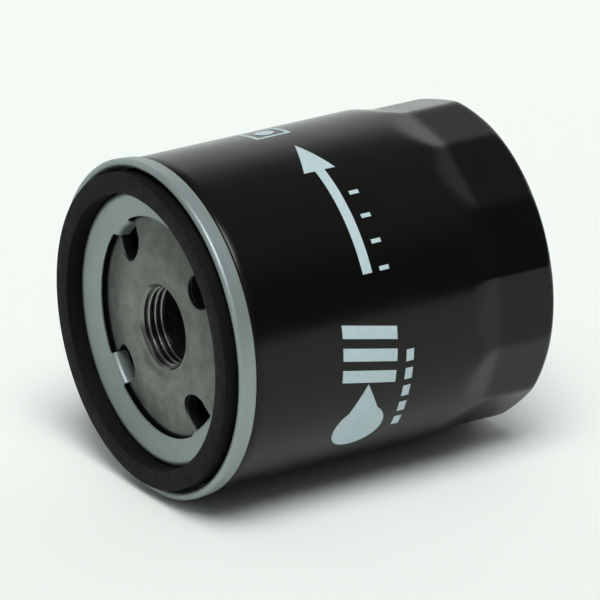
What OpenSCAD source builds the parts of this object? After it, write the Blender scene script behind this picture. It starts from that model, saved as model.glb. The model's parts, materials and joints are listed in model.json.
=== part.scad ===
// Spin-on engine oil filter, lying on its side.
// The origin is the centre of the threaded hole's mouth, and +Y runs along the axis towards the dome.
// Each sub-part is drawn upright, with its axis on +Z and the thread's mouth at 0,
// and lay_down() turns it so that +Z becomes +Y.

/* [Thread] */
// Major diameter of the thread, 3/4 inch
thread_d = 19.05; // [18:0.05:20]
// Pitch of the thread, 16 turns to the inch
thread_pitch = 1.5875; // [1.25:0.0125:2]

/* [Sealing gasket] */
// Outer diameter of the gasket
gasket_d = 71; // [70:0.1:71.5]
// Inner diameter of the gasket
gasket_hole_d = 62; // [62:0.1:64]
// Height of the gasket along the axis
gasket_h = 6.3; // [5:0.1:8]

/* [Can] */
// Outer diameter of the can
can_d = 74.94; // [74.6:0.01:75.4]
// Thickness of the can's sheet
can_sheet = 0.4; // [0.3:0.05:0.45]
// Length from the thread's mouth to the dome's top
body_length = 80.4; // [78:0.1:95]
// Radius of the shoulder at the dome
shoulder_r = 5; // [3:0.5:7]
// Depth of the round recess pressed into the dome
dome_recess = 1; // [0.5:0.1:2]
// Radius of the recess in the dome
dome_recess_r = 25; // [20:0.5:28]

/* [Wrench flutes] */
// Number of flats round the dome end
flute_count = 14; // [12:1:16]
// Distance across two opposite flats
flute_across = 71.4; // [71:0.1:73]
// Where the flats reach their full depth
flute_start = 65; // [60:0.5:68]
// Length over which a flat runs out into the round wall
runout_length = 7.5; // [5:0.5:10]
// Angle of one ridge between two flats, from +X towards +Z
flute_turn = 15.4; // [0:0.1:25]

/* [Seam and lid] */
// Outer diameter of the rolled seam
seam_d = 76.5; // [76.2:0.05:77]
// Thickness of the lid's sheet
lid_sheet = 0.5; // [0.4:0.05:0.5]
// How far the seam's crown stands in front of the thread's mouth
seam_crown = 3.65; // [3.4:0.05:4]
// How far the seam reaches past the thread's mouth towards the dome
seam_foot = 0.63; // [0.5:0.01:0.7]
// Radius of the round opening in the lid
lid_hole_r = 25; // [24:0.1:26]
// Width of each tab that is bent into an oil hole
tab_w = 7.5; // [5:0.1:7.6]
// Bend radius of a tab
tab_bend_r = 1.2; // [0.8:0.1:1.6]
// How far a tab reaches into its oil hole, past the thread's mouth
tab_depth = 3; // [2:0.1:3.4]

/* [Tapping plate] */
// Diameter of the plate
plate_d = 72.6; // [71:0.1:72.6]
// Thickness of the plate
plate_t = 3; // [2.5:0.1:3.5]
// How far the plate's rim is set back from the thread's mouth
plate_drop = 0.9; // [0.8:0.1:1.2]
// How far the plate's raised middle stands in front of the thread's mouth
plate_crown = 0.65; // [0.3:0.05:0.8]
// Length of the threaded collar, with the plate
collar_l = 6.4; // [5:0.1:6.8]
// Outer radius of the threaded collar
collar_r = 11.6; // [11:0.1:11.6]
// Number of oil inlet holes
oil_hole_count = 4; // [3:1:4]
// Width of an oil inlet hole
oil_hole_w = 8; // [7.8:0.1:8.4]
// Radius of the circle through the round inner ends' centres
oil_hole_r = 20.7; // [19.5:0.1:21]
// Angle of the first oil inlet hole, from +X towards +Z
oil_hole_turn = 41.5; // [0:0.5:90]

/* [Filter element] */
// Diameter of the element over its end caps
element_d = 66; // [64:0.5:68]
// Where the element's lower face stands
element_low = 7; // [6.8:0.1:7.2]
// Where the element's upper face stands
element_high = 66.4; // [64:0.1:68]
// Number of pleats in the paper
pleat_count = 48; // [36:1:56]
// Outer radius of the perforated centre tube
tube_r = 13.3; // [13.1:0.1:13.8]
// Rows of holes in the centre tube
tube_rows = 6; // [4:1:9]
// Holes in each row of the centre tube
tube_holes = 8; // [4:1:10]

/* [Bypass valve] */
// Radius of the port that the bypass valve closes
port_r = 6; // [5:0.1:6.5]
// Radius of the plunger's guide stem
stem_r = 1.6; // [1.2:0.1:2]
// Clear gap between the stem and its guide hole
stem_gap = 0.05; // [0.03:0.01:0.1]

/* [Hidden] */
$fn = 96;
thread_minor_r = (thread_d - 1.0825 * thread_pitch) / 2;
can_r = can_d / 2;
seam_r = seam_d / 2;
// Middle radii of the layers of the double seam inside its outer wall, from the outside in
can_hook_r = seam_r - lid_sheet - can_sheet / 2;
lid_hook_r = seam_r - 1.5 * lid_sheet - can_sheet;
can_wall_r = seam_r - 2 * lid_sheet - 1.5 * can_sheet;
chuck_wall_r = seam_r - 2.5 * lid_sheet - 2 * can_sheet;
layer_step = (lid_sheet + can_sheet) / 2;
crown_z = -seam_crown + lid_sheet / 2 + 2 * layer_step;
foot_z = seam_foot - lid_sheet / 2 - layer_step;
can_hook_z = crown_z + 0.2;
neck_low = seam_foot + 0.07;
neck_high = neck_low + 0.55;
// Clear gap between parts of the element that are pressed together
press_gap = 0.03;
// Bevels of the gasket at its front and at its seat in the channel
gasket_edge = 0.25;
seat_edge = 0.5;
// Seat of the gasket's channel, and the slope of the lid's annulus
seat_z = plate_drop - lid_sheet;
channel_bend = 0.7;
annulus_slope = 19.5;
annulus_edge_z = -0.45;
annulus_bend = 0.85;
annulus_wall_r = gasket_hole_d / 2 - 0.1 - lid_sheet / 2;
oil_hole_reach = 6;
// Radii at which the plate's face leaves the thread's mouth, is fully raised, and slopes to the rim
mouth_r = 10.2;
crown_r = [12, 16.5];
rim_r = 24;
flute_half_width = 10;
flat_r = flute_across / 2;
runout_turn = atan((can_r - flat_r) / runout_length);
cap_sheet = 0.4;
cap_rim_h = 4;
cap_r = element_d / 2;
tube_sheet = 0.5;
potting_h = 2.5;
media_low = element_low + cap_sheet + potting_h;
media_high = element_high - cap_sheet - potting_h;
media_r = cap_r - 1;
media_hole_r = tube_r + 0.8;
paper_t = 0.6;
seat_flange_r = 11.6;
seat_barrel_r = 8.9;
cage_r = 9.7;
cage_sheet = 0.8;
seat_face_z = element_high - 3.6;
seal_t = 0.8;
plunger_t = 0.8;
cage_floor_z = seat_face_z - 9.8;
valve_bead_r = 15.6;
valve_t = 1.1;
dome_inside_z = body_length - dome_recess - can_sheet;

// Turns a part from its upright drawing axis, +Z, to the frame's axis, +Y
module lay_down() {
    rotate([-90, 0, 0]) children();
}

// Points of an arc from one angle to another
function arc(centre, r, from, to, steps = 8) =
    [for (i = [0:steps]) let (t = from + (to - from) * i / steps) centre + r * [cos(t), sin(t)]];

function left_normal(a, b) = let (d = b - a) [-d[1], d[0]] / norm(d);

// A path's point moved sideways by w, mitred at the corners
function moved(path, i, w) =
    let (last = len(path) - 1,
         before = left_normal(path[max(i - 1, 0)], path[max(i, 1)]),
         after = left_normal(path[min(i, last - 1)], path[min(i + 1, last)]),
         both = before + after)
    path[i] + both * (2 * w / (both * both));

// Outline of a sheet of thickness t that follows a path
function sheet_outline(path, t) =
    concat([for (i = [0:len(path) - 1]) moved(path, i, t / 2)],
           [for (i = [len(path) - 1:-1:0]) moved(path, i, -t / 2)]);

// A pressed sheet of thickness t, turned round the axis
module sheet(path, t) {
    rotate_extrude() polygon(sheet_outline(path, t));
}

// A ring of rectangular section
module ring(r_in, r_out, low, high) {
    rotate_extrude() translate([r_in, low]) square([r_out - r_in, high - low]);
}

// A compression spring of round wire, with half a dead turn at each end
module coil(r_low, r_high, low, high, wire_r, turns, sides = 8, steps_per_turn = 22) {
    steps = round(turns * steps_per_turn);
    dead = 0.5;
    function rise(u) = min(max((u * turns - dead) / (turns - 2 * dead), 0), 1);
    function radius(u) = r_low + (r_high - r_low) * u;
    points = [for (i = [0:steps], k = [0:sides - 1])
        let (u = i / steps, t = 360 * turns * u, s = 360 * k / sides, r = radius(u) + wire_r * cos(s))
        [r * cos(t), r * sin(t), low + wire_r + (high - low - 2 * wire_r) * rise(u) + wire_r * sin(s)]];
    walls = [for (i = [0:steps - 1], k = [0:sides - 1])
        let (a = i * sides + k, b = i * sides + (k + 1) % sides)
        each [[a, b, a + sides], [b, b + sides, a + sides]]];
    ends = [for (k = [1:sides - 2]) each [[0, k + 1, k],
        [steps * sides, steps * sides + k, steps * sides + k + 1]]];
    polyhedron(points, concat(walls, ends), convexity = 10);
}

// Solid of the can's outside moved inwards by t
module can_form(t) {
    mouth_z = can_hook_z - (t > 0 ? 1 : 0);
    top = body_length - t;
    outline = concat(
        [[0, mouth_z], [can_wall_r + can_sheet / 2 - t, mouth_z],
         [can_wall_r + can_sheet / 2 - t, neck_low], [can_r - t, neck_high]],
        arc([can_r - shoulder_r, body_length - shoulder_r], shoulder_r - t, 0, 90),
        [[dome_recess_r + 2, top], [dome_recess_r, top - dome_recess], [0, top - dome_recess]]);
    difference() {
        rotate_extrude() polygon(outline);
        for (k = [1:flute_count])
            rotate(-flute_turn + (k - 0.5) * 360 / flute_count) flute_cut(flat_r - t);
    }
}

// Cuts one flat and its run-out
module flute_cut(r) {
    translate([r, -flute_half_width, flute_start]) cube([8, 2 * flute_half_width, 30]);
    translate([r, -flute_half_width, flute_start])
        rotate([0, -runout_turn, 0])
            translate([0, 0, -2 * runout_length]) cube([8, 2 * flute_half_width, 2 * runout_length]);
}

module can() {
    hook = concat(arc([lid_hook_r, can_hook_z], layer_step, 180, 360), [[can_hook_r, foot_z - 0.7]]);
    color([0.05, 0.05, 0.055]) lay_down() difference() {
        union() {
            can_form(0);
            sheet(hook, can_sheet);
        }
        can_form(can_sheet);
    }
}

module seam_lid() {
    edge = [lid_hole_r, annulus_edge_z];
    bend_centre = [annulus_wall_r - annulus_bend, -1.25];
    path = concat(
        [edge],
        arc(bend_centre, annulus_bend, -90 - annulus_slope, 0),
        arc([annulus_wall_r + channel_bend, seat_z + lid_sheet / 2 - channel_bend], channel_bend, 180, 90),
        arc([chuck_wall_r - channel_bend, seat_z + lid_sheet / 2 - channel_bend], channel_bend, 90, 0),
        arc([lid_hook_r, crown_z], 2 * layer_step, 180, 360, 14),
        arc([can_hook_r, foot_z], layer_step, 0, 180, 10),
        [[lid_hook_r, crown_z + 0.6]]);
    color([0.68, 0.71, 0.73]) lay_down() {
        sheet(path, lid_sheet);
        for (k = [0:oil_hole_count - 1]) rotate(-oil_hole_turn + k * 360 / oil_hole_count) lid_tab(edge);
    }
}

// A tongue of the lid that is bent down into an oil hole
module lid_tab(edge) {
    lean = 4;
    root = 0.4;
    slope = [-cos(annulus_slope), sin(annulus_slope)];
    centre = edge + tab_bend_r * [sin(annulus_slope), cos(annulus_slope)];
    bend = arc(centre, tab_bend_r, 270 - annulus_slope, 180 + lean);
    bend_foot = bend[len(bend) - 1];
    tip = [bend_foot[0] - (tab_depth - bend_foot[1]) * tan(lean), tab_depth];
    intersection() {
        sheet(concat([edge - slope * root], bend, [tip]), lid_sheet);
        translate([15, -tab_w / 2, -2]) cube([12, tab_w, 8]);
    }
}

module seam_sealant() {
    color([0.75, 0.6, 0.35]) lay_down() {
        ring(lid_hook_r - 0.23, lid_hook_r + 0.23, crown_z + 0.25, crown_z + 0.57);
        ring(can_hook_r - 0.18, can_hook_r + 0.18, foot_z - 0.66, foot_z - 0.28);
    }
}

module sealing_gasket() {
    r_in = gasket_hole_d / 2;
    r_out = gasket_d / 2;
    front = seat_z - gasket_h;
    outline = [[r_in, front + gasket_edge], [r_in + gasket_edge, front],
               [r_out - gasket_edge, front], [r_out, front + gasket_edge],
               [r_out, seat_z - seat_edge], [r_out - seat_edge, seat_z],
               [r_in + seat_edge, seat_z], [r_in, seat_z - seat_edge]];
    color([0.16, 0.15, 0.14]) lay_down() rotate_extrude() polygon(outline);
}

module tapping_plate() {
    outline = [[0, 0], [mouth_r, 0], [crown_r[0], -plate_crown], [crown_r[1], -plate_crown],
               [rim_r, plate_drop], [plate_d / 2, plate_drop],
               [plate_d / 2, plate_drop + plate_t], [rim_r, plate_drop + plate_t], [21.5, plate_t],
               [collar_r, plate_t], [collar_r, collar_l], [0, collar_l]];
    color([0.42, 0.43, 0.41]) lay_down() difference() {
        rotate_extrude() polygon(outline);
        translate([0, 0, -1]) cylinder(r = thread_minor_r, h = collar_l + 2);
        for (k = [0:oil_hole_count - 1]) rotate(-oil_hole_turn + k * 360 / oil_hole_count) {
            translate([oil_hole_r, 0, -1]) cylinder(d = oil_hole_w, h = 6);
            translate([oil_hole_r, -oil_hole_w / 2, -1]) cube([oil_hole_reach, oil_hole_w, 6]);
        }
    }
}

module anti_drain_valve() {
    lip_z = plate_drop + plate_t + valve_t / 2;
    flap = [[valve_bead_r - 0.5, element_low - 1], [22, element_low - 1.1], [28, lip_z + 0.7], [32, lip_z]];
    color([0.1, 0.1, 0.1]) lay_down() union() {
        ring(collar_r + 0.3, valve_bead_r, plate_t, element_low);
        sheet(flap, valve_t);
    }
}

// A pressed dish with its floor at 0 and its rim rising from it
module cap_dish(hole_r) {
    ring(hole_r, cap_r, 0, cap_sheet);
    ring(cap_r - cap_sheet, cap_r, 0, cap_rim_h);
}

module lower_end_cap() {
    neck_r = tube_r - tube_sheet - press_gap;
    color([0.62, 0.64, 0.62]) lay_down() translate([0, 0, element_low]) union() {
        cap_dish(neck_r - cap_sheet);
        ring(neck_r - cap_sheet, neck_r, 0, cap_rim_h - 0.5);
    }
}

module upper_end_cap() {
    color([0.62, 0.64, 0.62]) lay_down() translate([0, 0, element_high]) mirror([0, 0, 1])
        union() cap_dish(cage_r + press_gap);
}

module lower_potting() {
    color([0.75, 0.45, 0.4]) lay_down()
        ring(tube_r + press_gap, cap_r - cap_sheet, element_low + cap_sheet, media_low);
}

module upper_potting() {
    color([0.75, 0.45, 0.4]) lay_down()
        ring(tube_r + press_gap, cap_r - cap_sheet, media_high, element_high - cap_sheet);
}

module centre_tube() {
    low = element_low + cap_sheet;
    high = element_high - cap_sheet;
    row_gap = (media_high - media_low) / tube_rows;
    color([0.6, 0.62, 0.62]) lay_down() difference() {
        ring(tube_r - tube_sheet, tube_r, low, high);
        for (row = [0:tube_rows - 1], k = [0:tube_holes - 1])
            rotate((k + 0.5 * (row % 2)) * 360 / tube_holes)
                translate([tube_r - 1.5, 0, media_low + (row + 0.5) * row_gap])
                    rotate([0, 90, 0]) cylinder(r = 2.2, h = 3, $fn = 20);
    }
}

// One side of the folded paper: two points at each fold it goes round, one in each crease
function folds(fold_r, fold_width, crease_r, turn) =
    let (pitch = 360 / pleat_count, half = atan(fold_width / 2 / fold_r))
    [for (k = [0:pleat_count - 1]) let (t = k * pitch + turn) each
        [fold_r * [cos(t - half), sin(t - half)], fold_r * [cos(t + half), sin(t + half)],
         crease_r * [cos(t + pitch / 2), sin(t + pitch / 2)]]];

module pleated_media() {
    color([0.82, 0.7, 0.45]) lay_down() translate([0, 0, media_low])
        linear_extrude(media_high - media_low) difference() {
            polygon(folds(media_r, 2 * paper_t, media_hole_r + paper_t, 0));
            polygon(folds(media_hole_r, 1.5 * paper_t, media_r - paper_t, 180 / pleat_count));
        }
}

module media_clip() {
    color([0.7, 0.71, 0.72]) lay_down() rotate(180 / pleat_count)
        translate([23, -0.25, media_low]) cube([8, 0.5, media_high - media_low]);
}

module bypass_seat() {
    color([0.72, 0.69, 0.55]) lay_down() union() {
        ring(port_r, seat_flange_r, element_high, element_high + 0.8);
        ring(port_r, seat_barrel_r, seat_face_z, element_high);
    }
}

module bypass_seal() {
    color([0.09, 0.09, 0.09]) lay_down()
        ring(port_r - 1, seat_barrel_r - 1.2, seat_face_z - seal_t, seat_face_z);
}

module bypass_plunger() {
    top = seat_face_z - seal_t;
    color([0.66, 0.68, 0.7]) lay_down() union() {
        translate([0, 0, top - plunger_t]) cylinder(r = seat_barrel_r - 1.2, h = plunger_t);
        translate([0, 0, cage_floor_z - 2.5]) cylinder(r = stem_r, h = top - cage_floor_z + 2);
        translate([0, 0, top]) cylinder(r = port_r - 1.1, h = seal_t + 0.6);
    }
}

module bypass_spring() {
    color([0.55, 0.57, 0.6]) lay_down()
        coil(4.6, 4.6, cage_floor_z + cage_sheet + 0.02, seat_face_z - seal_t - plunger_t - 0.02, 0.4, 5);
}

module bypass_cage() {
    floor_top = cage_floor_z + cage_sheet;
    cup = [[0, cage_floor_z], [cage_r, cage_floor_z], [cage_r, element_high],
           [seat_barrel_r, element_high], [seat_barrel_r, floor_top], [0, floor_top]];
    window_w = 11;
    color([0.6, 0.62, 0.64]) lay_down() difference() {
        rotate_extrude() polygon(cup);
        translate([0, 0, cage_floor_z - 1]) cylinder(r = stem_r + stem_gap, h = 3);
        for (k = [0:2]) rotate(120 * k)
            translate([3, -window_w / 2, floor_top + 0.6]) cube([cage_r, window_w, 8]);
    }
}

module hold_down_spring() {
    color([0.5, 0.52, 0.55]) lay_down()
        coil(20, 16, element_high + 0.03, dome_inside_z - 0.03, 1.1, 3.5, 10, 32);
}

can();
seam_lid();
seam_sealant();
sealing_gasket();
tapping_plate();
anti_drain_valve();
lower_end_cap();
lower_potting();
centre_tube();
pleated_media();
media_clip();
upper_potting();
upper_end_cap();
bypass_seat();
bypass_seal();
bypass_plunger();
bypass_spring();
bypass_cage();
hold_down_spring();
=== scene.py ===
"""Looks of the spin-on oil filter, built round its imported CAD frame.

Shapes are worked out in millimetres in the filter's own polar terms: r from the axis, turn round it from +X
towards +Z, and y along it from the threaded hole's mouth (0) to the dome. add_mesh() turns them into metres.
"""

import json
import math

import bmesh
import bpy
import numpy as np
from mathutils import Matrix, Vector


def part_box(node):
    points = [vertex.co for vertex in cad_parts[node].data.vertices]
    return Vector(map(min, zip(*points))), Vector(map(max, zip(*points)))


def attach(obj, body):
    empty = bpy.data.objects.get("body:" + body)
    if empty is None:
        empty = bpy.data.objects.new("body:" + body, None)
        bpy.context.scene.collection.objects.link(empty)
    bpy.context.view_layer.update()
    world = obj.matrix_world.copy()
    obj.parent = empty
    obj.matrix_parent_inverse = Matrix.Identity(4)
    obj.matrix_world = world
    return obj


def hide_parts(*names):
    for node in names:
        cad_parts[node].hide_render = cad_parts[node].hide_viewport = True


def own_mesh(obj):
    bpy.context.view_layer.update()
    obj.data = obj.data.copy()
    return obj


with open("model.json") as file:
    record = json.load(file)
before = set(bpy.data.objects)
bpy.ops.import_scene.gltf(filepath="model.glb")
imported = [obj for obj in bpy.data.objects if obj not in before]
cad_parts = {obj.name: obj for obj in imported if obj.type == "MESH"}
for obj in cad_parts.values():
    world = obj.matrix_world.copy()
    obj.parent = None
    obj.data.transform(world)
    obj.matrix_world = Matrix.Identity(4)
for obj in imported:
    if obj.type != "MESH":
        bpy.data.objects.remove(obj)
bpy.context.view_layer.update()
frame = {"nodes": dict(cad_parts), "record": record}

MM = 0.001
HOUSING = "housing"


def low(node):
    """Lowest corner of a CAD node, in millimetres."""
    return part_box(node)[0] / MM


def high(node):
    """Highest corner of a CAD node, in millimetres."""
    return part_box(node)[1] / MM


# Sizes that the frame gives
SEAM_R = high("seam_lid").x
SEAM_CROWN = low("seam_lid").y
BODY_END = high("can").y
GASKET_R = high("sealing_gasket").x
GASKET_LOW = low("sealing_gasket").y
GASKET_SEAT = high("sealing_gasket").y
PLATE_R = high("tapping_plate").x
COLLAR_END = high("tapping_plate").y
CAP_LOW = low("lower_end_cap").y
CAGE_FLOOR = low("bypass_cage").y
SEAL_LOW = low("bypass_seal").y

# Sizes of the design that the boxes don't show
CAN_R = 37.47
CAN_SHEET = 0.4
SHOULDER_R = 5.0
DOME_RECESS = 1.0
DOME_RECESS_R = 25.0
FLUTES = 14
FLAT_R = 35.7
FLUTE_START = 65.0
RUNOUT = 7.5
FLUTE_TURN = 15.4
LID_SHEET = 0.5
SEAM_FOOT = 0.63
LID_HOLE_R = 25.0
ANNULUS_SLOPE = 19.5
ANNULUS_EDGE_Y = -0.45
TAB_W = 7.5
TAB_BEND_R = 1.2
TAB_DEPTH = 3.0
TAB_LEAN = 4.0
TAB_FILLET = 0.6
GASKET_HOLE_R = 31.0
PLATE_DROP = 0.9
PLATE_CROWN = 0.65
PLATE_MOUTH_R = 9.9
PLATE_CROWN_LOW_R = 12.2
PLATE_CROWN_HIGH_R = 16.5
PLATE_RIM_R = 24.0
PLATE_T = 3.0
COLLAR_R = 11.6
OIL_HOLES = 4
OIL_HOLE_W = 8.0
OIL_HOLE_R = 20.7
OIL_HOLE_TURN = 41.5
THREAD_D = 19.05
THREAD_PITCH = 1.5875
THREAD_START = 0.79
BORE_R = 9.68
VALVE_BEAD_R = 15.6
VALVE_T = 1.1
PLUNGER_T = 0.8
CAGE_SHEET = 0.8
SPRING_R = 4.6
SPRING_WIRE_R = 0.4
SPRING_TURNS = 5


# ---------------------------------------------------------------- camera, floor, light

CAMERA_TURN = 57.5
CAMERA_RISE = 21.9
CAMERA_DISTANCE = 1.8535
CAMERA_TARGET = Vector((0.0141, 0.0267, 0.0054))
CAMERA_LENS = 507.7

BASE_LIGHT = 0.035
LIGHT_TINT = (0.96, 1.0, 0.965)
BACKDROP_TINT = (0.9, 0.935, 0.905)


def add_camera():
    turn, rise = math.radians(CAMERA_TURN), math.radians(CAMERA_RISE)
    towards = Vector((math.sin(turn) * math.cos(rise), -math.cos(turn) * math.cos(rise), math.sin(rise)))
    data = bpy.data.cameras.new("camera")
    data.lens = CAMERA_LENS
    data.sensor_width = 36.0
    data.clip_end = 50.0
    camera = bpy.data.objects.new("camera", data)
    camera.location = CAMERA_TARGET + towards * CAMERA_DISTANCE
    camera.rotation_euler = (-towards).to_track_quat("-Z", "Y").to_euler()
    bpy.context.scene.collection.objects.link(camera)
    bpy.context.scene.camera = camera


class Studio:
    """The light round the filter, as a world whose brightness depends on direction alone."""

    def __init__(self):
        world = bpy.data.worlds.new("studio")
        bpy.context.scene.world = world
        world.use_nodes = True
        self.tree = world.node_tree
        self.direction = self.tree.nodes.new("ShaderNodeTexCoord").outputs["Generated"]
        self.total = BASE_LIGHT

    def add(self, a, b, operation="ADD"):
        node = self.tree.nodes.new("ShaderNodeMath")
        node.operation = operation
        for socket, value in zip(node.inputs, (a, b)):
            if isinstance(value, bpy.types.NodeSocket):
                self.tree.links.new(value, socket)
            else:
                socket.default_value = value
        return node.outputs[0]

    def lobe(self, axis, full, gone, brightness=1.0):
        """Brightness within an angle of full degrees from the axis, fading until gone."""
        dot = self.tree.nodes.new("ShaderNodeVectorMath")
        dot.operation = "DOT_PRODUCT"
        self.tree.links.new(self.direction, dot.inputs[0])
        dot.inputs[1].default_value = Vector(axis).normalized()
        fade = self.tree.nodes.new("ShaderNodeMapRange")
        fade.interpolation_type = "SMOOTHSTEP"
        self.tree.links.new(dot.outputs["Value"], fade.inputs["Value"])
        fade.inputs["From Min"].default_value = math.cos(math.radians(gone))
        fade.inputs["From Max"].default_value = math.cos(math.radians(full))
        fade.inputs["To Max"].default_value = brightness
        return fade.outputs["Result"]

    def shine(self, brightness):
        self.total = self.add(self.total, brightness)

    def finish(self):
        """The camera sees a plain pale backdrop where the floor ends."""
        output = self.tree.nodes["World Output"]
        lit = self.tree.nodes["Background"]
        lit.inputs["Color"].default_value = (*LIGHT_TINT, 1)
        self.tree.links.new(self.total, lit.inputs["Strength"])
        seen = self.tree.nodes.new("ShaderNodeBackground")
        seen.inputs["Color"].default_value = (*BACKDROP_TINT, 1)
        path = self.tree.nodes.new("ShaderNodeLightPath")
        mix = self.tree.nodes.new("ShaderNodeMixShader")
        self.tree.links.new(path.outputs["Is Camera Ray"], mix.inputs[0])
        self.tree.links.new(lit.outputs[0], mix.inputs[1])
        self.tree.links.new(seen.outputs[0], mix.inputs[2])
        self.tree.links.new(mix.outputs[0], output.inputs["Surface"])


def add_light():
    """A bright lamp overhead, a wide low sweep behind, and two faint fills, overhead and in front."""
    studio = Studio()
    key = studio.lobe((0.37, -0.2, 0.905), full=8, gone=22, brightness=10.2)
    sweep = studio.lobe((-0.84, 0.54, 0), full=45, gone=85, brightness=0.95)
    not_high = studio.lobe((0, 0, -1), full=115, gone=140)
    overhead = studio.lobe((0, 0.5, 0.87), full=15, gone=55, brightness=0.2)
    front = studio.lobe((0.35, -0.75, 0.55), full=30, gone=72, brightness=0.24)
    for brightness in (key, studio.add(sweep, not_high, "MULTIPLY"), overhead, front):
        studio.shine(brightness)
    studio.finish()


# ---------------------------------------------------------------- shapes

def arc(centre, radius, start, end, steps):
    """Points (r, y) of an arc from one angle to another, in degrees."""
    turns = np.radians(np.linspace(start, end, steps + 1))
    return [(centre[0] + radius * math.cos(t), centre[1] + radius * math.sin(t)) for t in turns]


def line(a, b, steps):
    """Points after a, up to and with b."""
    return [(a[0] + (b[0] - a[0]) * k / steps, a[1] + (b[1] - a[1]) * k / steps) for k in range(1, steps + 1)]


def add_mesh(name, points, faces, sharp=40):
    """A mesh object from points in millimetres, smooth but for the edges sharper than sharp degrees."""
    mesh = bpy.data.meshes.new(name)
    mesh.from_pydata([tuple(p) for p in np.asarray(points, float) * MM], [], faces)
    work = bmesh.new()
    work.from_mesh(mesh)
    bmesh.ops.remove_doubles(work, verts=work.verts, dist=1e-7)
    bmesh.ops.recalc_face_normals(work, faces=work.faces)
    work.to_mesh(mesh)
    work.free()
    piece = bpy.data.objects.new(name, mesh)
    bpy.context.scene.collection.objects.link(piece)
    smooth(piece, sharp)
    return piece


def smooth(piece, sharp):
    piece.data.shade_smooth()
    piece.data.set_sharp_from_angle(angle=math.radians(sharp))


def apply_modifiers(piece, sharp):
    """Puts the modifiers' result into the piece's own mesh."""
    graph = bpy.context.evaluated_depsgraph_get()
    mesh = bpy.data.meshes.new_from_object(piece.evaluated_get(graph))
    piece.modifiers.clear()
    piece.data = mesh
    mesh.materials.clear()
    smooth(piece, sharp)


def turned_grid(columns, rows, steps):
    """Faces of a grid of points that goes once round the axis, for those steps along its section."""
    faces = []
    for c in range(columns):
        following = (c + 1) % columns
        for k in steps:
            after = (k + 1) % rows
            faces.append((c * rows + k, following * rows + k, following * rows + after, c * rows + after))
    return faces


def lathe(name, section, columns=240, reshape=None, sharp=40):
    """Turns a closed section of (r, y) points round the axis. reshape(r, turn, y) may bend it."""
    section = np.array(section, float)
    on_axis = section[:, 0] == 0
    steps = [k for k in range(len(section)) if not (on_axis[k] and on_axis[(k + 1) % len(section)])]
    turns = np.linspace(0, 2 * math.pi, columns, endpoint=False)
    turn, r = np.meshgrid(turns, section[:, 0], indexing="ij")
    y = np.broadcast_to(section[:, 1], r.shape)
    if reshape:
        r, y = reshape(r, turn, y)
    points = np.stack([r * np.cos(turn), y, r * np.sin(turn)], 2).reshape(-1, 3)
    return add_mesh(name, points, turned_grid(columns, len(section), steps), sharp)


def sheet_section(path, thickness):
    """Closed section of a sheet that follows a path, mitred at the corners."""
    path = np.array(path, float)
    step = np.diff(path, axis=0)
    normal = np.stack([-step[:, 1], step[:, 0]], 1) / np.linalg.norm(step, axis=1)[:, None]
    both = np.vstack([normal[:1] * 2, normal[:-1] + normal[1:], normal[-1:] * 2])
    shift = both * (thickness / (both * both).sum(1))[:, None]
    return np.vstack([path + shift, (path - shift)[::-1]])


# ---------------------------------------------------------------- the can

def smooth_least(values, softness):
    """The least of several arrays, rounded over where two of them meet."""
    values = np.stack(values)
    least = values.min(0)
    return least - softness * np.log(np.exp(-(values - least) / softness).sum(0))


def flat_reach(y, inset):
    """How far the flats stand from the axis at y, as they run out into the round wall."""
    slope = (CAN_R - FLAT_R) / RUNOUT
    softness = 0.12
    rise = (FLUTE_START - y) * slope
    return FLAT_R - inset + softness * np.logaddexp(0, rise / softness)


def fluted(inset):
    """reshape() for the can's wall, moved inwards by each point's inset."""
    def reshape(r, turn, y):
        pitch = 2 * math.pi / FLUTES
        side = (turn - math.radians(FLUTE_TURN)) % pitch - pitch / 2
        reach = flat_reach(y, inset)
        softness = 0.22
        own = reach / np.cos(side)
        beside = reach / np.cos(pitch - np.abs(side))
        wall = smooth_least([r, own, beside], softness)
        keep = y < FLUTE_START - 3 * RUNOUT
        return np.where(keep | (r < 1), r, wall), y
    return reshape


def can_section(inset):
    """The can's outline from the mouth to the dome's centre, moved inwards by inset."""
    neck_r = SEAM_R - 2 * LID_SHEET - CAN_SHEET
    neck = SEAM_FOOT + 0.07
    mouth = SEAM_CROWN + 1.9
    flare, flare_rise, full_rise = 0.12, 0.42, 0.62
    wall_r = CAN_R - inset
    plain_end = 50.0
    shoulder = (CAN_R - SHOULDER_R, BODY_END - SHOULDER_R)
    top = BODY_END - inset
    step_r, step_bend = DOME_RECESS_R + 2.2, 0.8
    foot_r = DOME_RECESS_R - 0.2
    recess, dish_r, dish = top - DOME_RECESS, 12.0, 0.15
    points = [(neck_r - inset, mouth), (neck_r - inset, neck), (wall_r - flare, neck + flare_rise)]
    points += [(wall_r, neck + full_rise)]
    points += line(points[-1], (wall_r, plain_end), 24)
    points += line(points[-1], (wall_r, shoulder[1]), 52)
    points += arc(shoulder, SHOULDER_R - inset, 0, 90, 16)[1:]
    points += line(points[-1], (step_r, top), 4)
    points += arc((step_r, top - step_bend), step_bend, 90, 135, 3)[1:]
    points += arc((foot_r, recess + step_bend), step_bend, -45, -90, 3)
    points += line(points[-1], (dish_r, recess), 8)
    points += line(points[-1], (0.0, recess + dish), 6)
    return points


def make_can():
    outside, inside = can_section(0), can_section(CAN_SHEET)
    inset = np.array([0] * len(outside) + [CAN_SHEET] * len(inside))
    return lathe("can_shell", outside + inside[::-1], FLUTES * 30, fluted(inset), 50)


# ---------------------------------------------------------------- the lid and its seam

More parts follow.
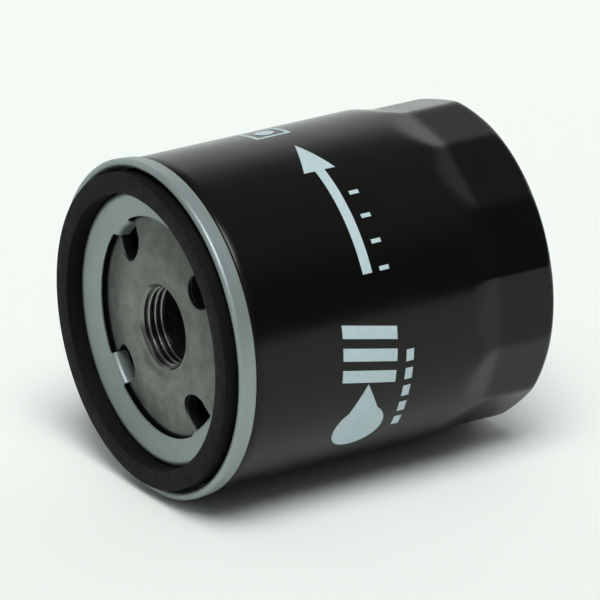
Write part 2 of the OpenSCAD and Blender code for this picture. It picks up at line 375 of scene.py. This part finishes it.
def lid_path():
    """Middle line (r, y) of the lid's sheet, from the round opening's edge to the seam's foot."""
    half = LID_SHEET / 2
    layer = (LID_SHEET + CAN_SHEET) / 2
    wall_r = GASKET_HOLE_R - 0.1 - half
    chuck_r = SEAM_R - 2.5 * LID_SHEET - 2 * CAN_SHEET
    fold = 0.66
    outer_r = SEAM_R - half
    floor = GASKET_SEAT + half
    bend = 0.7
    crown = SEAM_CROWN + half + fold
    foot = SEAM_FOOT - half - layer
    taper = 0.18
    brim = 0.85
    brim_y, chuck_y = -1.25, -1.7
    path = [(LID_HOLE_R, ANNULUS_EDGE_Y)]
    edge = arc((wall_r - brim, brim_y), brim, -90 - ANNULUS_SLOPE, 0, 14)
    path += line(path[0], edge[0], 8) + edge[1:]
    path += arc((wall_r + bend, floor - bend), bend, 180, 90, 6)
    path += line(path[-1], (chuck_r - bend, floor), 3)
    path += arc((chuck_r - bend, floor - bend), bend, 90, 0, 6)[1:]
    path += line(path[-1], (chuck_r, chuck_y), 4)
    path += arc((outer_r - fold, crown), fold, 180, 360, 20)
    path += line(path[-1], (outer_r - taper, foot), 8)
    path += arc((outer_r - taper - layer, foot), layer, 0, 200, 12)[1:]
    return path


def tab_path():
    """Steps (r, y) of a tab's middle line, from the lid's edge down into the oil hole."""
    slope = math.radians(ANNULUS_SLOPE)
    centre = (LID_HOLE_R + TAB_BEND_R * math.sin(slope), ANNULUS_EDGE_Y + TAB_BEND_R * math.cos(slope))
    bend = arc(centre, TAB_BEND_R, 270 - ANNULUS_SLOPE, 180 + TAB_LEAN, 14)
    foot = bend[-1]
    tip = (foot[0] - (TAB_DEPTH - foot[1]) * math.tan(math.radians(TAB_LEAN)), TAB_DEPTH)
    return bend[1:] + line(foot, tip, 4)


def make_lid():
    columns = 720
    section = lid_path()
    rows = len(section)
    tongue = tab_path()
    points, faces = [], turned_grid(columns, rows, range(rows - 1))
    for c in range(columns):
        turn = 2 * math.pi * c / columns
        points += [(r * math.cos(turn), y, r * math.sin(turn)) for r, y in section]
    root_w = TAB_W / 2 + TAB_FILLET
    for hole in range(OIL_HOLES):
        middle = math.radians(OIL_HOLE_TURN + 360 * hole / OIL_HOLES)
        along = np.array([math.cos(middle), 0, math.sin(middle)])
        across = np.array([-math.sin(middle), 0, math.cos(middle)])
        reach = math.asin(root_w / LID_HOLE_R)
        mine = [c for c in range(-columns, 2 * columns) if abs(2 * math.pi * c / columns - middle) <= reach]
        before = [(c % columns) * rows for c in mine]
        travel, last = 0.0, (LID_HOLE_R, ANNULUS_EDGE_Y)
        for r, y in tongue:
            travel += math.dist((r, y), last)
            last = (r, y)
            inside = max(0.0, 1 - travel / TAB_FILLET)
            width = (TAB_W / 2 + TAB_FILLET * (1 - math.sqrt(1 - inside * inside))) / root_w
            row = []
            for c in mine:
                off = 2 * math.pi * c / columns - middle
                back = LID_HOLE_R * (1 - math.cos(off)) * width * width
                row.append(len(points))
                points.append(along * (r - back) + across * LID_HOLE_R * math.sin(off) * width + (0, y, 0))
            faces += [(before[i], before[i + 1], row[i + 1], row[i]) for i in range(len(mine) - 1)]
            before = row
    lid = add_mesh("seam_lid_sheet", points, faces)
    thicken = lid.modifiers.new("sheet", "SOLIDIFY")
    thicken.thickness = LID_SHEET * MM
    thicken.offset = 0
    thicken.use_even_offset = True
    soften = lid.modifiers.new("edges", "BEVEL")
    soften.width = 0.09 * MM
    soften.segments = 2
    soften.limit_method = "ANGLE"
    soften.angle_limit = math.radians(60)
    apply_modifiers(lid, 40)
    return lid


# ---------------------------------------------------------------- the tapping plate

def thread_depth(turn, y):
    """How deep the right-hand thread's groove is at a place in the bore, from 0 to 1."""
    phase = (y / THREAD_PITCH + turn / (2 * math.pi) - THREAD_START) % 1
    ramp = 1 - np.abs(2 * phase - 1)
    crest, flank = 0.14, 0.76
    return np.clip((ramp - crest) / flank, 0, 1)


def plate_face(r):
    """Where the plate's face stands along y: it swells up round the thread's mouth and slopes to the rim."""
    share = np.clip((r - PLATE_MOUTH_R) / (PLATE_CROWN_LOW_R - PLATE_MOUTH_R), 0, 1)
    swell = share * share * (3 - 2 * share)
    softness = 0.45
    past_crown = np.logaddexp(0, (r - PLATE_CROWN_HIGH_R) / softness)
    past_rim = np.logaddexp(0, (r - PLATE_RIM_R) / softness)
    run = softness * (past_crown - past_rim)
    return -PLATE_CROWN * swell + (PLATE_DROP + PLATE_CROWN) * run / (PLATE_RIM_R - PLATE_CROWN_HIGH_R)


def make_plate():
    minor = (THREAD_D - 1.0825 * THREAD_PITCH) / 2
    major = THREAD_D / 2
    mouth_r = BORE_R + 0.04
    bore_steps = 160
    edge, root = 0.3, 1.2
    collar_edge = 0.4
    back = PLATE_DROP + PLATE_T
    radii = np.concatenate([np.linspace(mouth_r, 12.5, 14), np.linspace(13, 26, 40)])
    outline = [(r, plate_face(r)) for r in radii]
    outline += [(PLATE_R - edge, PLATE_DROP), (PLATE_R, PLATE_DROP + edge)]
    outline += [(PLATE_R, back - edge), (PLATE_R - edge, back)]
    outline += [(PLATE_RIM_R, back), (PLATE_RIM_R - 2.5, PLATE_T), (COLLAR_R + root, PLATE_T)]
    outline += arc((COLLAR_R + root, PLATE_T + root), root, 270, 180, 5)[1:]
    outline += [(COLLAR_R, COLLAR_END - collar_edge), (COLLAR_R - collar_edge, COLLAR_END)]
    bore = [(minor, COLLAR_END - COLLAR_END * k / bore_steps) for k in range(bore_steps + 1)]
    bore_first = len(outline)
    lead_in, lead_out, lead_slope = 1.15, 0.9, 0.95

    def carve_thread(r, turn, y):
        r = r.copy()
        threaded = slice(bore_first, None)
        depth = thread_depth(turn[:, threaded], y[:, threaded])
        groove = minor + (major - minor) * depth
        entry = np.maximum(0, lead_in - y[:, threaded])
        leaving = np.maximum(0, y[:, threaded] - (COLLAR_END - lead_out))
        r[:, threaded] = np.maximum(groove, minor + lead_slope * np.maximum(entry, leaving))
        return r, y

    plate = lathe("tapping_plate_steel", outline + bore[:-1], 360, carve_thread, 35)
    for hole in range(OIL_HOLES):
        cut_oil_hole(plate, math.radians(OIL_HOLE_TURN + 360 * hole / OIL_HOLES))
    smooth(plate, 35)
    dress_bore(plate)
    return plate


def dress_bore(plate):
    """Gives the bore its own finish and smooth shading."""
    plate.data.materials.append(FINISHES["phosphated_steel"])
    plate.data.materials.append(FINISHES["cut_thread"])
    bore_r = BORE_R * MM
    for face in plate.data.polygons:
        if math.hypot(face.center.x, face.center.z) < bore_r:
            face.material_index = 1
    points = plate.data.vertices
    for edge in plate.data.edges:
        ends = [points[k].co for k in edge.vertices]
        if all(math.hypot(end.x, end.z) < bore_r for end in ends):
            edge.use_edge_sharp = False


def cut_oil_hole(plate, middle):
    """Cuts a slot with a rounded brim into the plate."""
    half = OIL_HOLE_W / 2
    reach = 26.5
    rounding = 0.25
    above, inside, below = -2.0, 3.0, 6.0
    face_y = plate_face(OIL_HOLE_R)
    brim = [(face_y + rounding * (1 - math.cos(t)), rounding * (1 - math.sin(t)))
            for t in np.radians(np.linspace(0, 90, 6))]
    depths = [(above, rounding)] + brim + [(inside, 0.0), (below, 0.0)]
    along = np.array([math.cos(middle), 0, math.sin(middle)])
    across = np.array([-math.sin(middle), 0, math.cos(middle)])
    points, rows = [], 0
    for y, wider in depths:
        w = half + wider
        half_turn = np.radians(np.linspace(90, 270, 25))
        outline = [(OIL_HOLE_R + w * math.cos(t), w * math.sin(t)) for t in half_turn]
        outline += [(reach, -w), (reach, w)]
        rows = len(outline)
        points += [along * u + across * v + (0, y, 0) for u, v in outline]
    faces = []
    for k in range(len(depths) - 1):
        for i in range(rows):
            j = (i + 1) % rows
            faces.append((k * rows + i, k * rows + j, (k + 1) * rows + j, (k + 1) * rows + i))
    faces.append(tuple(range(rows)))
    faces.append(tuple(range((len(depths) - 1) * rows, len(depths) * rows)))
    cutter = add_mesh("cutter", points, faces)
    cut = plate.modifiers.new("slot", "BOOLEAN")
    cut.operation = "DIFFERENCE"
    cut.solver = "EXACT"
    cut.object = cutter
    apply_modifiers(plate, 35)
    bpy.data.objects.remove(cutter)


# ---------------------------------------------------------------- rubber

def rounded_box_section(r_in, r_out, y_low, y_high, corner, steps=4):
    """Section of a ring with rounded corners."""
    points = arc((r_in + corner, y_low + corner), corner, 180, 270, steps)
    points += arc((r_out - corner, y_low + corner), corner, 270, 360, steps)
    points += arc((r_out - corner, y_high - corner), corner, 0, 90, steps)
    points += arc((r_in + corner, y_high - corner), corner, 90, 180, steps)
    return points


def make_gasket():
    section = rounded_box_section(GASKET_HOLE_R, GASKET_R, GASKET_LOW, GASKET_SEAT, 0.28)
    return lathe("sealing_gasket_ring", section, 360, sharp=60)


def make_drain_valve():
    """The membrane's bead, which stays, and its flap, which the oil lifts."""
    bead_section = rounded_box_section(COLLAR_R + 0.3, VALVE_BEAD_R, PLATE_T, CAP_LOW, 0.4)
    bead = lathe("anti_drain_bead", bead_section, 120)
    root = CAP_LOW - 1.0
    lip = PLATE_DROP + PLATE_T + VALVE_T / 2
    path = [(VALVE_BEAD_R - 0.4, root), (19.0, root), (22.0, root - 0.15), (25.5, lip + 1.1),
            (28.5, lip + 0.4), (30.5, lip + 0.1), (32.0, lip)]
    flap = lathe("anti_drain_flap", sheet_section(path, VALVE_T), 180, sharp=60)
    return bead, flap


# ---------------------------------------------------------------- bypass spring

def make_coil(name, radius, y_low, y_high, wire, turns, sides=14, steps_per_turn=48):
    """A compression spring of round wire with half a dead turn at each end."""
    steps = int(turns * steps_per_turn)
    points, faces = [], []
    dead = 0.5
    for i in range(steps + 1):
        share = i / steps
        turn = -2 * math.pi * turns * share
        rise = min(max((share * turns - dead) / (turns - 2 * dead), 0), 1)
        middle = y_low + wire + (y_high - y_low - 2 * wire) * rise
        for k in range(sides):
            s = 2 * math.pi * k / sides
            r = radius + wire * math.cos(s)
            points.append((r * math.cos(turn), middle + wire * math.sin(s), r * math.sin(turn)))
    for i in range(steps):
        for k in range(sides):
            a, b = i * sides + k, i * sides + (k + 1) % sides
            faces.append((a, b, b + sides, a + sides))
    faces += [tuple(range(sides)), tuple(range(steps * sides, (steps + 1) * sides))]
    return add_mesh(name, points, faces, 60)


# ---------------------------------------------------------------- printed marks

INK_R = CAN_R + 0.03
INK_T = 0.03


def wrap_mark(name, outlines):
    """Flat outlines of (turn in degrees, y) points, wrapped round the can as a thin layer of ink."""
    work = bmesh.new()
    for outline in outlines:
        corners = [work.verts.new((math.radians(t) * INK_R, y, 0)) for t, y in outline]
        work.faces.new(corners)
    work.normal_update()
    bmesh.ops.triangulate(work, faces=work.faces)
    span = [v.co.x for v in work.verts]
    step = 0.8
    for k in range(int(min(span) / step) - 1, int(max(span) / step) + 2):
        geometry = work.verts[:] + work.edges[:] + work.faces[:]
        bmesh.ops.bisect_plane(work, geom=geometry, plane_co=(k * step, 0, 0), plane_no=(1, 0, 0))
    flat = [(v.co.x / INK_R, v.co.y) for v in work.verts]
    work.verts.index_update()
    faces = [tuple(v.index for v in f.verts) for f in work.faces]
    work.free()
    points = [(INK_R * math.cos(t), y, INK_R * math.sin(t)) for t, y in flat]
    mark = add_mesh(name, points, faces)
    thicken = mark.modifiers.new("ink", "SOLIDIFY")
    thicken.thickness = INK_T * MM
    thicken.offset = 0
    apply_modifiers(mark, 40)
    return mark


def bar(turn_low, turn_high, y_low, y_high, slant=0.0):
    return [(turn_low, y_low), (turn_high, y_low), (turn_high + slant, y_high), (turn_low + slant, y_high)]


def ellipse(turn, y, radius, steps=40):
    """A circle of that radius in millimetres on the can."""
    per_degree = math.radians(1) * INK_R
    return [(turn + radius * math.cos(t) / per_degree, y + radius * math.sin(t))
            for t in np.linspace(0, 2 * math.pi, steps, endpoint=False)]


def drop(turn, y, radius, length):
    """An oil drop whose tip points towards the larger turns."""
    per_degree = math.radians(1) * INK_R
    open_angle = 0.62
    points = [(-radius * math.cos(t) / per_degree, radius * math.sin(t))
              for t in np.linspace(-math.pi + open_angle, math.pi - open_angle, 32)]
    return [(turn + u, y + v) for u, v in points] + [(turn + length / per_degree, y)]


def make_marks():
    """Generic print: an arrow round the can with ticks, an oil drop with stripes and dashes, a framed dot."""
    arrow = [(27, 30.6), (68, 30.6), (68, 27.8), (84, 31.8), (68, 35.8), (68, 33.0), (27, 33.0)]
    ticks = [bar(t, t + 1.5, 35.0, 37.4) for t in (27.0, 36.4, 45.8, 55.2)]
    stripes = [bar(t, t + 4.6, 23.0, 37.0, -4.5) for t in (-8.5, -0.5, 7.5)]
    dashes = [bar(t, t + 4.4, 39.4, 41.3) for t in (-34, -27, -20, -13, -6)]
    turn_low, turn_high, y_low, y_high = 95.0, 108.0, 26.5, 35.5
    side = 0.9
    side_turn = side / (math.radians(1) * INK_R)
    border = [bar(turn_low, turn_high, y_low, y_low + side), bar(turn_low, turn_high, y_high - side, y_high),
              bar(turn_low, turn_low + side_turn, y_low + side, y_high - side),
              bar(turn_high - side_turn, turn_high, y_low + side, y_high - side)]
    return [wrap_mark("print_arrow", [arrow] + ticks),
            wrap_mark("print_drop", [drop(-30.5, 30.0, 6.4, 12.5)]),
            wrap_mark("print_stripes", stripes + dashes),
            wrap_mark("print_frame", border + [ellipse(101.5, 31.0, 2.2)])]


# ---------------------------------------------------------------- materials

class Finish:
    """A node-based material whose parts are added one at a time."""

    def __init__(self, name, base, roughness, metallic=0.0, **sockets):
        self.material = bpy.data.materials.new(name)
        self.material.use_nodes = True
        self.tree = self.material.node_tree
        self.shader = self.tree.nodes["Principled BSDF"]
        self.base = base
        self.shader.inputs["Base Color"].default_value = (*base, 1)
        self.shader.inputs["Roughness"].default_value = roughness
        self.shader.inputs["Metallic"].default_value = metallic
        for socket, value in sockets.items():
            self.shader.inputs[socket.replace("_", " ")].default_value = value
        self.place = self.node("ShaderNodeTexCoord").outputs["Object"]

    def node(self, kind, inputs=None, **settings):
        node = self.tree.nodes.new(kind)
        for name, value in settings.items():
            setattr(node, name, value)
        for socket, value in (inputs or {}).items():
            if isinstance(value, bpy.types.NodeSocket):
                self.tree.links.new(value, node.inputs[socket])
            else:
                node.inputs[socket].default_value = value
        return node

    def span(self, value, lows, highs, start, end):
        """Carries the value from lows..highs to start..end, and holds it there beyond."""
        inputs = {"Value": value, "From Min": lows, "From Max": highs, "To Min": start, "To Max": end}
        return self.node("ShaderNodeMapRange", inputs).outputs["Result"]

    def math(self, operation, a, b=0.0):
        return self.node("ShaderNodeMath", {0: a, 1: b}, operation=operation).outputs[0]

    def axes(self):
        """The place's x, y and z, and its distance from the filter's axis."""
        x, y, z = self.node("ShaderNodeSeparateXYZ", {0: self.place}).outputs
        squares = self.math("ADD", self.math("MULTIPLY", x, x), self.math("MULTIPLY", z, z))
        return x, y, z, self.math("SQRT", squares)

    def polar(self, r_scale, turn_scale, y_scale):
        """Coordinates that run with the turning of the part: r, turn and y, each scaled."""
        x, y, z, radius = self.axes()
        joined = self.node("ShaderNodeCombineXYZ", {
            0: self.math("MULTIPLY", radius, r_scale / MM),
            1: self.math("MULTIPLY", self.math("ARCTAN2", z, x), turn_scale),
            2: self.math("MULTIPLY", y, y_scale / MM)})
        return joined.outputs[0]

    def noise(self, scale, detail=4.0, roughness=0.55, at=None, per_mm=True):
        scale = scale / MM if per_mm else scale
        inputs = {"Vector": at or self.place, "Scale": scale, "Detail": detail, "Roughness": roughness}
        return self.node("ShaderNodeTexNoise", inputs).outputs["Fac"]

    def ramp(self, value, stops):
        """Maps a value through (position, colour or grey) stops."""
        ramp = self.node("ShaderNodeValToRGB", {"Fac": value})
        elements = ramp.color_ramp.elements
        while len(elements) < len(stops):
            elements.new(0.5)
        for element, (position, colour) in zip(elements, stops):
            colour = (colour,) * 3 if isinstance(colour, (int, float)) else colour
            element.position = position
            element.color = (*colour, 1)
        return ramp.outputs["Color"]

    def shades(self, value, darker, lighter, lows=0.3, highs=0.7):
        """A colour that goes from darker to lighter times the base with the value."""
        dark = tuple(c * darker for c in self.base)
        light = tuple(min(1, c * lighter) for c in self.base)
        return self.ramp(value, [(lows, dark), (highs, light)])

    def set_base(self, colour):
        self.tree.links.new(colour, self.shader.inputs["Base Color"])

    def tones(self, value, darker, lighter):
        """Makes those shades the base colour."""
        self.set_base(self.shades(value, darker, lighter))

    def rough(self, value, least, most):
        grey = self.ramp(value, [(0.3, least), (0.7, most)])
        self.tree.links.new(grey, self.shader.inputs["Roughness"])

    def bump(self, height, depth_mm):
        bump = self.node("ShaderNodeBump", {"Height": height, "Distance": depth_mm * MM, "Strength": 1.0})
        self.tree.links.new(bump.outputs[0], self.shader.inputs["Normal"])

    def mix(self, factor, a, b):
        node = self.node("ShaderNodeMix", data_type="RGBA")
        for socket, kind, value in (("Factor", "VALUE", factor), ("A", "RGBA", a), ("B", "RGBA", b)):
            target = next(s for s in node.inputs if s.name == socket and s.type == kind)
            if isinstance(value, bpy.types.NodeSocket):
                self.tree.links.new(value, target)
            else:
                target.default_value = value if kind == "VALUE" else (*value, 1)
        return next(s for s in node.outputs if s.type == "RGBA")


def can_paint():
    """Black enamel with a little orange peel."""
    paint = Finish("can_paint", (0.003, 0.003, 0.0027), 0.2, Specular_IOR_Level=0.25)
    cloud = paint.noise(0.03, 3)
    paint.tones(cloud, 0.8, 1.25)
    paint.rough(paint.noise(0.09, 4), 0.17, 0.23)
    paint.bump(paint.noise(0.55, 2), 0.004)
    return paint.material


def ink():
    """Pale printing ink."""
    finish = Finish("print_ink", (0.49, 0.6, 0.645), 0.5)
    finish.tones(finish.noise(0.8, 5), 0.93, 1.04)
    finish.rough(finish.noise(1.5, 3), 0.42, 0.6)
    return finish.material


def zinc_sheet():
    """Satin zinc with fine scratches that run round the part."""
    zinc = Finish("zinc_sheet", (0.29, 0.34, 0.345), 0.45, 0.5)
    lines = zinc.noise(1.0, 5, 0.65, zinc.polar(9.0, 2.2, 9.0), per_mm=False)
    cloud = zinc.noise(0.12, 4)
    zinc.tones(zinc.mix(0.35, lines, cloud), 0.84, 1.1)
    zinc.rough(lines, 0.36, 0.5)
    zinc.bump(lines, 0.008)
    return zinc.material


def phosphated_steel():
    """Dull grey-green steel, mottled, with bright crystals; painted shade makes it near-black in its recesses
    and under the lid's edge, and darker towards the top and +X.
    """
    steel = Finish("phosphated_steel", (0.165, 0.182, 0.165), 0.48, 0.6)
    mottle = steel.noise(0.22, 8, 0.62)
    clusters = steel.ramp(steel.noise(0.16, 3), [(0.46, 0.35), (0.62, 1.0)])
    crystals = steel.ramp(steel.noise(2.4, 3, 0.55), [(0.58, 0.0), (0.72, 1.0)])
    crystals = steel.math("MULTIPLY", crystals, clusters)
    x, y, z, radius = steel.axes()
    mouth = steel.span(radius, PLATE_MOUTH_R * MM, PLATE_CROWN_LOW_R * MM, PLATE_CROWN * MM, 0.0)
    slope = steel.span(radius, PLATE_CROWN_HIGH_R * MM, PLATE_RIM_R * MM, -PLATE_CROWN * MM, PLATE_DROP * MM)
    depth = steel.math("SUBTRACT", y, steel.math("ADD", mouth, slope))
    # Painted shade: below the face's own surface (slot walls, rim step) and past the rim, under the lid's
    # edge, the colour goes near-black.
    shallow = steel.span(depth, 0.12 * MM, 0.45 * MM, 1.0, 0.05)
    within_rim = steel.span(radius, (PLATE_RIM_R + 0.1) * MM, (PLATE_RIM_R + 0.7) * MM, 1.0, 0.03)
    open_face = steel.math("MULTIPLY", shallow, within_rim)
    # Painted shade: the face is darkened towards the top and +X.
    painted_side_shade = steel.math("ADD", steel.math("MULTIPLY", x, 0.6), steel.math("MULTIPLY", z, 0.8))
    painted_side_shade = steel.span(painted_side_shade, -4 * MM, 20 * MM, 0.0, 1.0)
    crystal, side_shade_tone, recess = (0.42, 0.44, 0.42), (0.04, 0.044, 0.04), (0.006, 0.006, 0.006)
    tone = steel.shades(mottle, 0.72, 1.3, 0.34, 0.68)
    tone = steel.mix(steel.math("MULTIPLY", crystals, 0.5), tone, crystal)
    tone = steel.mix(steel.math("MULTIPLY", painted_side_shade, 0.42), tone, side_shade_tone)
    steel.set_base(steel.mix(open_face, recess, tone))
    steel.rough(steel.noise(0.9, 5), 0.38, 0.6)
    steel.bump(steel.noise(1.8, 6, 0.7), 0.02)
    return steel.material


def cut_thread():
    """The tapped bore: dark steel as painted shade in the grooves, with a painted highlight on the crests and
    the lead-in chamfer.
    """
    steel = Finish("cut_thread", (0.07, 0.072, 0.068), 0.3, 0.95)
    x, y, z, radius = steel.axes()
    crest_r, flank_r = 8.7, 8.95
    lead_y, lead_end_y = 0.7, 0.95
    # Painted highlight: the crests and the lead-in are given a bright tone, the grooves keep the dark base as
    # painted shade.
    crest = steel.span(radius, crest_r * MM, flank_r * MM, 1.0, 0.0)
    lead = steel.span(y, lead_y * MM, lead_end_y * MM, 0.4, 0.0)
    lines = steel.noise(1.0, 3, 0.5, steel.polar(9.0, 0.5, 9.0), per_mm=False)
    crest_highlight_tone = (0.38, 0.39, 0.365)
    steel.set_base(steel.mix(steel.math("MAXIMUM", crest, lead), steel.shades(lines, 0.8, 1.25), crest_highlight_tone))
    steel.rough(lines, 0.2, 0.3)
    return steel.material


def gasket_rubber():
    rubber = Finish("gasket_rubber", (0.0045, 0.0048, 0.0042), 0.6, Specular_IOR_Level=0.11)
    rubber.tones(rubber.noise(0.25, 6), 0.85, 1.2)
    rubber.rough(rubber.noise(0.6, 4), 0.55, 0.72)
    rubber.bump(rubber.noise(1.4, 5, 0.6), 0.012)
    return rubber.material


def valve_rubber():
    rubber = Finish("valve_rubber", (0.018, 0.018, 0.018), 0.5)
    rubber.tones(rubber.noise(0.3, 4), 0.8, 1.25)
    rubber.bump(rubber.noise(1.2, 4), 0.008)
    return rubber.material


def tinned_steel():
    # The base is darker than bare tinplate: painted shade for the filter's dim inside.
    tin = Finish("tinned_steel", (0.3, 0.31, 0.3), 0.32, 0.9)
    lines = tin.noise(1.0, 4, 0.6, tin.polar(6.0, 2.0, 6.0), per_mm=False)
    tin.tones(lines, 0.85, 1.1)
    tin.rough(tin.noise(0.4, 4), 0.25, 0.42)
    tin.bump(lines, 0.004)
    return tin.material


def sealant():
    compound = Finish("sealant", (0.55, 0.42, 0.2), 0.7)
    compound.tones(compound.noise(0.9, 4), 0.8, 1.15)
    compound.bump(compound.noise(1.5, 4), 0.03)
    return compound.material


def potting():
    plastisol = Finish("potting", (0.55, 0.28, 0.22), 0.6)
    plastisol.tones(plastisol.noise(0.2, 5), 0.85, 1.12)
    plastisol.bump(plastisol.noise(0.5, 4), 0.04)
    return plastisol.material


def filter_paper():
    paper = Finish("filter_paper", (0.72, 0.56, 0.3), 0.85)
    fibres = paper.noise(2.2, 8, 0.75)
    paper.tones(fibres, 0.82, 1.12)
    paper.bump(fibres, 0.05)
    return paper.material


def seat_steel():
    steel = Finish("seat_steel", (0.6, 0.56, 0.42), 0.35, 0.9)
    steel.tones(steel.noise(0.4, 5), 0.85, 1.1)
    steel.rough(steel.noise(1.0, 4), 0.28, 0.45)
    return steel.material


def spring_steel():
    steel = Finish("spring_steel", (0.38, 0.39, 0.4), 0.3, 1.0)
    steel.tones(steel.noise(0.8, 5), 0.8, 1.15)
    steel.rough(steel.noise(1.4, 4), 0.22, 0.4)
    return steel.material


FINISHES = {make.__name__: make() for make in (
    can_paint, ink, zinc_sheet, phosphated_steel, cut_thread, gasket_rubber, valve_rubber, tinned_steel,
    sealant, potting, filter_paper, seat_steel, spring_steel)}


def dress(piece, finish):
    if not piece.data.materials:
        piece.data.materials.append(FINISHES[finish])


def stand_for(piece, node, finish):
    """The piece takes the CAD node's place."""
    dress(piece, finish)
    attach(piece, HOUSING)
    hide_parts(node)


# ---------------------------------------------------------------- the scene

def add_floor():
    """A pale floor, tilted a little so that the seam and the can's far end both rest on it."""
    seam_foot_y, can_foot_y = -2.5, 56.0
    near = Vector((0, seam_foot_y, -SEAM_R))
    far = Vector((0, can_foot_y, -CAN_R))
    tilt = math.atan2(far.z - near.z, far.y - near.y)
    size = 6.0
    mesh = bpy.data.meshes.new("floor")
    corners = [(x * size, y * size, 0) for x, y in ((-1, -1), (1, -1), (1, 1), (-1, 1))]
    mesh.from_pydata(corners, [], [(0, 1, 2, 3)])
    floor = bpy.data.objects.new("floor", mesh)
    floor.location = near * MM
    floor.rotation_euler = (tilt, 0, 0)
    bpy.context.scene.collection.objects.link(floor)
    paper = Finish("floor_paper", (0.895, 0.912, 0.9), 0.9, Specular_IOR_Level=0.2)
    paper.tones(paper.noise(0.002, 2), 0.995, 1.005)
    mesh.materials.append(paper.material)


bpy.context.scene.view_settings.view_transform = "Standard"
add_camera()
add_floor()
add_light()

stand_for(make_can(), "can", "can_paint")
stand_for(make_lid(), "seam_lid", "zinc_sheet")
stand_for(make_plate(), "tapping_plate", "phosphated_steel")
stand_for(make_gasket(), "sealing_gasket", "gasket_rubber")

bead, flap = make_drain_valve()
stand_for(bead, "anti_drain_valve", "valve_rubber")
stand_for(flap, "anti_drain_valve", "valve_rubber")
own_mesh(flap)

spring_foot = CAGE_FLOOR + CAGE_SHEET
spring_top = SEAL_LOW - PLUNGER_T
spring = make_coil("bypass_spring_wire", SPRING_R, spring_foot, spring_top, SPRING_WIRE_R, SPRING_TURNS)
stand_for(spring, "bypass_spring", "spring_steel")
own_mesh(spring)

for mark in make_marks():
    mark.data.materials.append(FINISHES["ink"])
    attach(mark, HOUSING)

slots = {part["node"]: part["material_slot"] for part in frame["record"]["subparts"]}
for name, node in frame["nodes"].items():
    if not node.hide_render:
        node.data.materials.clear()
        node.data.materials.append(FINISHES[slots[name]])
